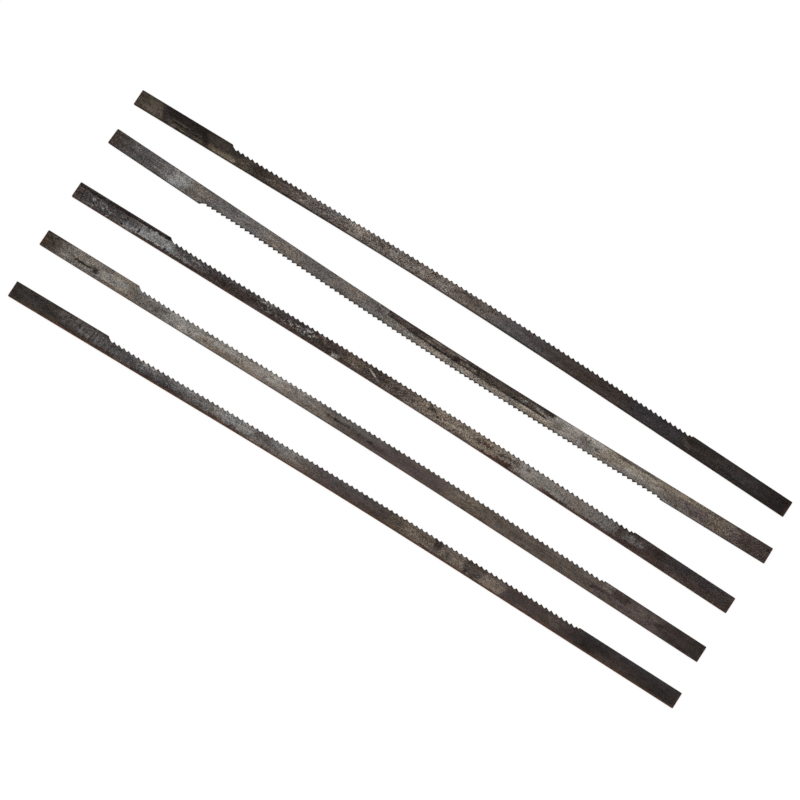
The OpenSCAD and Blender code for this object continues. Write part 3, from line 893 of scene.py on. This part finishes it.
def blade_mesh(name, node, settings):
    """Closed mesh of one blade with rounded edges and rows of flat faces, and the blade's length."""
    shape = StripShape(node)
    low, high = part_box(node.name)
    thick = (high.z - low.z) / MM
    radius = settings.edge_radius / MM
    draft = MeshDraft(low.z / MM, thick)
    count = len(shape.stations)
    zeros = np.zeros(count)
    # Points, places across and tooth heights of both edges, and the places of the rows between them
    edges = [(shape.back, zeros, zeros), (shape.teeth, shape.heights, shape.tips)]
    shares = [row / settings.rows for row in range(1, settings.rows + 1)]
    if shape.teeth[count // 2, 1] < shape.back[count // 2, 1]:
        edges.reverse()
        shares.reverse()

    ring, ring_across, ring_tips = (np.concatenate([near, far[::-1]]) for near, far in zip(*edges))
    ring_along = np.concatenate([shape.stations, shape.stations[::-1]])
    steps = inward(ring)
    rings = [
        draft.add_line(ring + inset * steps, height, ring_along, ring_across, ring_tips)
        for inset, height in edge_levels(radius, settings.edge_steps, thick)
    ]
    for below, above in zip(rings, rings[1:]):
        draft.add_faces(zip(below, below[1:] + below[:1], above[1:] + above[:1], above), SIDE_SLOT)

    # The rows stop short of the rounded ends, and one face closes each end
    start, stop = np.searchsorted(shape.stations, (END_ROOM * radius, shape.length - END_ROOM * radius))
    middle = slice(start, stop)
    for edge_ring, height, up in ((rings[0], 0.0, False), (rings[-1], thick, True)):
        first_line, last_line = edge_ring[:count], edge_ring[count:][::-1]
        lines = [first_line[middle]]
        for share in shares:
            across = share * shape.roots
            points = shape.back + (shape.teeth - shape.back) * (across / shape.heights)[:, None]
            rest = shape.stations[middle], across[middle], zeros[middle]
            lines.append(draft.add_line(points[middle], height, *rest))
        lines.append(last_line[middle])
        flat = [
            last_line[start::-1] + first_line[: start + 1] + [line[0] for line in lines[1:-1]],
            first_line[stop - 1 :] + last_line[: stop - 2 : -1] + [line[-1] for line in lines[-2:0:-1]],
        ]
        for near, far in zip(lines, lines[1:]):
            flat += zip(near, near[1:], far[1:], far)
        draft.add_faces((corners if up else corners[::-1] for corners in flat), FACE_SLOT)
    return draft.to_mesh(name), shape.length


class NodeBench:
    """Adds nodes to one node tree and joins them up."""

    def __init__(self, tree):
        self.tree = tree

    def add(self, kind, *values, **settings):
        """A node with its inputs given in order; None leaves one as it is."""
        node = self.tree.nodes.new(kind)
        for name, value in settings.items():
            setattr(node, name, value)
        for socket, value in zip(node.inputs, values):
            self.feed(socket, value)
        return node

    def feed(self, socket, value):
        """Links a socket to an output or sets its value."""
        if isinstance(value, bpy.types.NodeSocket):
            self.tree.links.new(value, socket)
        elif value is not None:
            socket.default_value = value

    def feed_named(self, node, values):
        """Feeds inputs of a node by their names."""
        for name, value in values.items():
            self.feed(node.inputs[name], value)

    def math(self, operation, *values):
        """Result of a sum on numbers."""
        return self.add("ShaderNodeMath", *values, operation=operation).outputs[0]

    def vector(self, operation, *values):
        """Result of a sum on vectors."""
        return self.add("ShaderNodeVectorMath", *values, operation=operation).outputs[0]

    def split(self, vector):
        """The three parts of a vector."""
        return self.add("ShaderNodeSeparateXYZ", vector).outputs

    def scaled(self, vector, factor):
        """A vector or colour times a number."""
        node = self.add("ShaderNodeVectorMath", vector, operation="SCALE")
        self.feed(node.inputs["Scale"], factor)
        return node.outputs[0]

    def noise(self, place, pattern):
        """Value of a pattern at a place, from 0 to 1."""
        if pattern.stretch != EVEN:
            place = self.vector("MULTIPLY", place, pattern.stretch)
        node = self.add("ShaderNodeTexNoise")
        values = {
            "Vector": place,
            "Scale": pattern.fineness,
            "Detail": pattern.detail,
            "Roughness": pattern.roughness,
            "Distortion": pattern.distortion,
        }
        self.feed_named(node, values)
        return node.outputs["Fac"]

    def centred(self, value):
        """A pattern's value less its middle."""
        return self.math("SUBTRACT", value, 0.5)

    def ease(self, value, start, end, low=0.0, high=1.0):
        """A smooth change from low to high as a value goes from start to end."""
        values = value, start, end, low, high
        return self.add("ShaderNodeMapRange", *values, interpolation_type="SMOOTHSTEP").outputs[0]

    def mix(self, factor, base, over):
        """A colour laid over another."""
        node = self.add("ShaderNodeMix", factor, data_type="RGBA")
        self.feed(node.inputs[MIX_BASE], base)
        self.feed(node.inputs[MIX_OVER], over)
        return node.outputs[MIX_RESULT]

    def attribute(self, name):
        """A mesh attribute's node."""
        return self.add("ShaderNodeAttribute", attribute_name=name)


# Inputs of the node group that lays a stain, by their kind
STAIN_INPUTS = {
    "NodeSocketVector": ("Strip", "Middle", "Half", "Fade"),
    "NodeSocketFloat": ("Wobble", "Grain", "Slant", "Lean", "Ragged", "Strength"),
}


def stain_group():
    """Node group that says how much of a stain covers a place on the strip."""
    tree = bpy.data.node_groups.get("Stain")
    if tree:
        return tree
    tree = bpy.data.node_groups.new("Stain", "ShaderNodeTree")
    for kind, names in STAIN_INPUTS.items():
        for name in names:
            tree.interface.new_socket(name=name, in_out="INPUT", socket_type=kind)
    tree.interface.new_socket(name="Amount", in_out="OUTPUT", socket_type="NodeSocketFloat")
    bench = NodeBench(tree)
    given = bench.add("NodeGroupInput").outputs
    offset = bench.split(bench.vector("SUBTRACT", given["Strip"], given["Middle"]))
    half = bench.split(given["Half"])
    fade = bench.split(given["Fade"])
    shifted = bench.math("MULTIPLY", given["Slant"], offset[1])
    leaned = bench.math("MULTIPLY", given["Lean"], offset[0])
    frayed = bench.math("MULTIPLY", given["Ragged"], given["Wobble"])
    past = []
    for axis, moved in enumerate((shifted, leaned)):
        inside = bench.math("ABSOLUTE", bench.math("SUBTRACT", offset[axis], moved))
        beyond = bench.math("ADD", bench.math("SUBTRACT", inside, half[axis]), frayed)
        past.append(bench.math("DIVIDE", beyond, fade[axis]))
    worst = bench.math("MAXIMUM", *past)
    cover = bench.ease(worst, 1.0, -1.0)
    grained = bench.math("MULTIPLY", cover, given["Grain"])
    amount = bench.math("MULTIPLY", grained, given["Strength"])
    bench.add("NodeGroupOutput", amount)
    return tree


def seen_as(finishes, name):
    """Linear colour of a finish, so that the studio's light shows it as set."""
    colour = Color(getattr(finishes, name)).from_srgb_to_scene_linear()
    return (*[channel / finishes.light_gain for channel in colour], 1.0)


def new_material(name):
    """Empty node material, its bench and its shader."""
    material = bpy.data.materials.new(name)
    material.use_nodes = True
    tree = material.node_tree
    tree.nodes.clear()
    bench = NodeBench(tree)
    shader = bench.add("ShaderNodeBsdfPrincipled")
    output = bench.add("ShaderNodeOutputMaterial")
    tree.links.new(shader.outputs["BSDF"], output.inputs["Surface"])
    return material, bench, shader


def ramp_along(bench, place, length, stops):
    """Colour that changes along the blade from one stop to the next."""
    node = bench.add("ShaderNodeValToRGB", bench.math("DIVIDE", place, float(length)))
    elements = node.color_ramp.elements
    for index, (at, colour) in enumerate(stops):
        position = min(1.0, at / length)
        element = elements[index] if index < len(elements) else elements.new(position)
        element.position = position
        element.color = colour
    return node.outputs["Color"]


def wear_surface(bench, shader, colour, height, relief, metallic):
    """Feeds colour, gloss and relief: bright worn steel is smoother than scale."""
    tone = bench.add("ShaderNodeRGBToBW", colour).outputs[0]
    bump = bench.add("ShaderNodeBump")
    bench.feed_named(bump, {"Strength": 1.0, "Distance": relief, "Height": height})
    values = {
        "Base Color": colour,
        "Roughness": bench.ease(tone, *SURFACE_TONES, *SURFACE_ROUGHNESS),
        "Metallic": metallic,
        "Specular IOR Level": SHINE * metallic,
        "Normal": bump.outputs["Normal"],
    }
    bench.feed_named(shader, values)


def lay_stain(bench, stain, colour, shared, finishes):
    """Colour with one stain laid over it."""
    node = bench.add("ShaderNodeGroup", node_tree=stain_group())
    (start, end), (low, high) = stain.along, stain.across
    values = {
        "Strip": shared["strip"],
        "Wobble": shared["wobble"],
        "Grain": shared[stain.grain],
        "Middle": ((start + end) / 2, (low + high) / 2, 0.0),
        "Half": ((end - start) / 2, (high - low) / 2, 1.0),
        "Fade": (*stain.fade, 1.0),
        "Slant": stain.slant,
        "Lean": stain.lean,
        "Ragged": stain.ragged,
        "Strength": stain.strength,
    }
    bench.feed_named(node, values)
    return bench.mix(node.outputs["Amount"], colour, seen_as(finishes, stain.finish))


def lay_borders(bench, colour, look, length, strip, finishes):
    """Colour with dark lines laid along the back edge, the teeth and the cut ends; the back-edge line is
    partly a real edge stain and partly painted edge shade.
    """
    along, across, _ = bench.split(strip)
    # Painted shade along the back edge, in the colour of the rim's stain
    back_stain_and_shade = bench.ease(across, *BACK_STAIN_AND_SHADE, look.rim_stain_and_shade, 0.0)
    colour = bench.mix(back_stain_and_shade, colour, seen_as(finishes, look.rim))
    tip = bench.attribute("tip").outputs["Fac"]
    on_teeth = bench.ease(tip, 0.0, look.tip_fade)
    far_line = bench.math("MAXIMUM", on_teeth, bench.ease(across, *FAR_LINE, 0.0, FAR_STRENGTH))
    colour = bench.mix(bench.math("MULTIPLY", far_line, TIP_STRENGTH), colour, seen_as(finishes, "pitch"))
    for end in (0.0, length):
        distance = bench.math("ABSOLUTE", bench.math("SUBTRACT", along, end))
        end_line = bench.ease(distance, *END_LINE, END_STRENGTH, 0.0)
        colour = bench.mix(end_line, colour, seen_as(finishes, "russet"))
    return colour


def face_finish(blade, length, finishes):
    """Worn and stained steel of a blade's broad faces."""
    look = LOOKS[blade]
    material, bench, shader = new_material(f"{blade}_face")
    strip = bench.attribute("strip").outputs["Vector"]
    faces_apart = bench.vector("MULTIPLY", strip, (1.0, 1.0, FACE_STEP))
    field = bench.vector("ADD", faces_apart, (0.0, 0.0, BLADE_STEP * BLADES.index(blade)))
    along = bench.split(strip)[0]
    wobble = bench.ease(bench.noise(field, WOBBLE), *WOBBLE_RANGE, -1.0, 1.0)
    shared = {"strip": strip, "wobble": wobble, "solid": 1.0}
    for name, (pattern, start, end) in GRAINS.items():
        shared[name] = bench.ease(bench.noise(field, pattern), start, end)

    place = bench.math("ADD", along, bench.math("MULTIPLY", wobble, TONE_WANDER))
    tones = [(at, seen_as(finishes, finish)) for at, finish in look.tones]
    colour = ramp_along(bench, place, length, tones)
    for stain in STAINS[blade]:
        colour = lay_stain(bench, stain, colour, shared, finishes)
    colour = lay_borders(bench, colour, look, length, strip, finishes)

    amounts = [(at, (*[amount / GRIT_MAX] * 3, 1.0)) for at, amount in look.grit]
    amount = bench.math("MULTIPLY", ramp_along(bench, along, length, amounts), GRIT_MAX)
    cloud = bench.centred(bench.noise(field, CLOUD))
    grain = 0.0
    for pattern, share in GRIT:
        grain = bench.math("MULTIPLY_ADD", bench.centred(bench.noise(field, pattern)), share, grain)
    rough = bench.math("MULTIPLY", bench.math("MULTIPLY", grain, amount), finishes.speckle)
    patchy = bench.math("MULTIPLY", cloud, bench.math("MULTIPLY_ADD", amount, finishes.mottle, CLOUD_BASE))
    shade = bench.math("ADD", bench.math("ADD", patchy, 1.0), rough)
    shade = bench.math("MINIMUM", bench.math("MAXIMUM", shade, DARKEST), BRIGHTEST)
    drift = bench.math("MULTIPLY", bench.centred(bench.noise(field, DRIFT)), finishes.tint)
    warmth = bench.vector("MULTIPLY_ADD", drift, WARMER, EVEN)
    colour = bench.vector("MULTIPLY", bench.scaled(colour, shade), warmth)
    wear_surface(bench, shader, colour, bench.math("ADD", cloud, grain), finishes.relief, FACE_METALLIC)
    return material


def side_finish(blade, finishes):
    """Dark cut steel of a blade's narrow sides, with fine marks across the cut."""
    look = LOOKS[blade]
    material, bench, shader = new_material(f"{blade}_side")
    strip = bench.attribute("strip").outputs["Vector"]
    place = bench.add("ShaderNodeTexCoord").outputs["Object"]
    marks = bench.noise(place, CUT_MARKS)
    patches = bench.noise(strip, SIDE_PATCHES)
    rimmed = bench.ease(patches, *RIM_RANGE)
    colour = bench.mix(rimmed, seen_as(finishes, "pitch"), seen_as(finishes, look.rim))
    on_back = bench.ease(bench.split(strip)[1], *BACK_SIDE, look.rust, 0.0)
    rusted = bench.math("MULTIPLY", bench.ease(patches, *RUST_RANGE, RUST_LEAST, 1.0), on_back)
    colour = bench.mix(rusted, colour, seen_as(finishes, "ochre"))
    shade = bench.math("MULTIPLY_ADD", bench.centred(marks), CUT_STRENGTH, 1.0)
    wear_surface(bench, shader, bench.scaled(colour, shade), marks, finishes.relief, SIDE_METALLIC)
    return material


class FRETBLADES_OT_lay_blade(bpy.types.Operator):
    """Build one worn blade over its plain strip"""

    bl_idname = "fretblades.lay_blade"
    bl_label = "Lay Blade"

    blade: EnumProperty(
        name="Blade",
        description="Blade to build",
        items=[(name, name.replace("_", " ").title(), "Build this blade") for name in BLADES],
    )

    def execute(self, context):
        settings = context.scene.fretblades_shape
        finishes = context.scene.fretblades_finish
        name = f"worn_{self.blade}"
        mesh, length = blade_mesh(name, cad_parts[self.blade], settings)
        mesh.materials.append(face_finish(self.blade, length, finishes))
        mesh.materials.append(side_finish(self.blade, finishes))
        piece = bpy.data.objects.new(name, mesh)
        context.scene.collection.objects.link(piece)
        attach(piece, self.blade)
        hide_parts(self.blade)
        return {"FINISHED"}


def floor_finish(stage):
    """Matt white paper with a barely visible cloudiness."""
    material, bench, shader = new_material("floor_paper")
    place = bench.add("ShaderNodeTexCoord").outputs["Object"]
    cloud = bench.ease(bench.noise(place, PAPER), *PAPER_RANGE, *PAPER_TONES)
    values = {
        "Base Color": bench.scaled(Vector(stage.floor_colour), cloud),
        "Emission Color": WHITE,
        "Emission Strength": stage.floor_glow,
        "Roughness": PAPER_ROUGHNESS,
        "Specular IOR Level": PAPER_SHINE,
    }
    bench.feed_named(shader, values)
    return material


def add_floor(scene, stage):
    """Round floor just below the blades."""
    shape = bmesh.new()
    bmesh.ops.create_circle(shape, cap_ends=True, segments=FLOOR_SEGMENTS, radius=stage.floor_radius)
    mesh = bpy.data.meshes.new("floor")
    shape.to_mesh(mesh)
    shape.free()
    floor = bpy.data.objects.new("floor", mesh)
    floor.location.z = cad_box[0].z - stage.floor_drop
    floor.data.materials.append(floor_finish(stage))
    scene.collection.objects.link(floor)


def add_sky(scene, stage):
    """Even white light from all round."""
    scene.world = bpy.data.worlds.new("even_sky")
    scene.world.use_nodes = True
    sky = scene.world.node_tree.nodes["Background"]
    sky.inputs["Color"].default_value = WHITE
    sky.inputs["Strength"].default_value = stage.sky


def add_softbox(scene, stage, name, place):
    """Square soft light that points at the middle of the set."""
    data = bpy.data.lights.new(name, "AREA")
    data.shape = "SQUARE"
    data.size = stage.softbox_size
    data.energy = stage.softbox_power
    lamp = bpy.data.objects.new(name, data)
    lamp.location = place
    lamp.rotation_euler = (-Vector(place)).to_track_quat("-Z", "Y").to_euler()
    scene.collection.objects.link(lamp)


def add_camera(scene, stage):
    """Camera that looks down on the blades at a slant."""
    data = bpy.data.cameras.new("camera")
    data.sensor_width = SENSOR_WIDTH
    data.lens = stage.view_lens
    camera = bpy.data.objects.new("camera", data)
    tilt_axis = Vector((math.cos(stage.view_side), math.sin(stage.view_side), 0.0))
    turn = Matrix.Rotation(stage.view_turn, 4, "Z") @ Matrix.Rotation(stage.view_tilt, 4, tilt_axis)
    aim = Matrix.Translation((*stage.view_aim, cad_box[0].z))
    camera.matrix_world = aim @ turn @ Matrix.Translation((0.0, 0.0, stage.view_distance))
    scene.collection.objects.link(camera)
    scene.camera = camera


class FRETBLADES_OT_set_stage(bpy.types.Operator):
    """Make the floor, the even sky, the soft lights and the camera"""

    bl_idname = "fretblades.set_stage"
    bl_label = "Set Stage"

    def execute(self, context):
        scene = context.scene
        stage = scene.fretblades_stage
        add_floor(scene, stage)
        add_sky(scene, stage)
        for name, place in SOFTBOXES.items():
            add_softbox(scene, stage, name, place)
        add_camera(scene, stage)
        scene.view_settings.view_transform = "Standard"
        return {"FINISHED"}


class FRETBLADES_PT_sidebar(bpy.types.Panel):
    """Sidebar panel with the blades, their finish and the stage"""

    bl_label = "Fret Saw Blades"
    bl_idname = "FRETBLADES_PT_sidebar"
    bl_space_type = "VIEW_3D"
    bl_region_type = "UI"
    bl_category = "Blades"

    def draw(self, context):
        layout = self.layout
        for blade in BLADES:
            layout.operator(FRETBLADES_OT_lay_blade.bl_idname, text=f"Lay {blade}").blade = blade
        layout.operator(FRETBLADES_OT_set_stage.bl_idname)
        for name in SETTINGS:
            box = layout.box()
            settings = getattr(context.scene, name)
            for field in settings.bl_rna.properties.keys():
                if field not in ("rna_type", "name"):
                    box.prop(settings, field)


SETTINGS = {
    "fretblades_shape": BladeSettings,
    "fretblades_finish": FinishSettings,
    "fretblades_stage": StageSettings,
}
CLASSES = [*SETTINGS.values(), FRETBLADES_OT_lay_blade, FRETBLADES_OT_set_stage, FRETBLADES_PT_sidebar]


def register():
    """Makes the settings, the operators and the panel known to Blender."""
    for made in CLASSES:
        bpy.utils.register_class(made)
    for name, group in SETTINGS.items():
        setattr(bpy.types.Scene, name, PointerProperty(type=group))


def unregister():
    """Takes all of them back out."""
    for name in SETTINGS:
        delattr(bpy.types.Scene, name)
    for made in reversed(CLASSES):
        bpy.utils.unregister_class(made)


def main():
    """Builds every blade and the stage."""
    register()
    for blade in BLADES:
        bpy.ops.fretblades.lay_blade(blade=blade)
    bpy.ops.fretblades.set_stage()


if __name__ == "__main__":
    main()
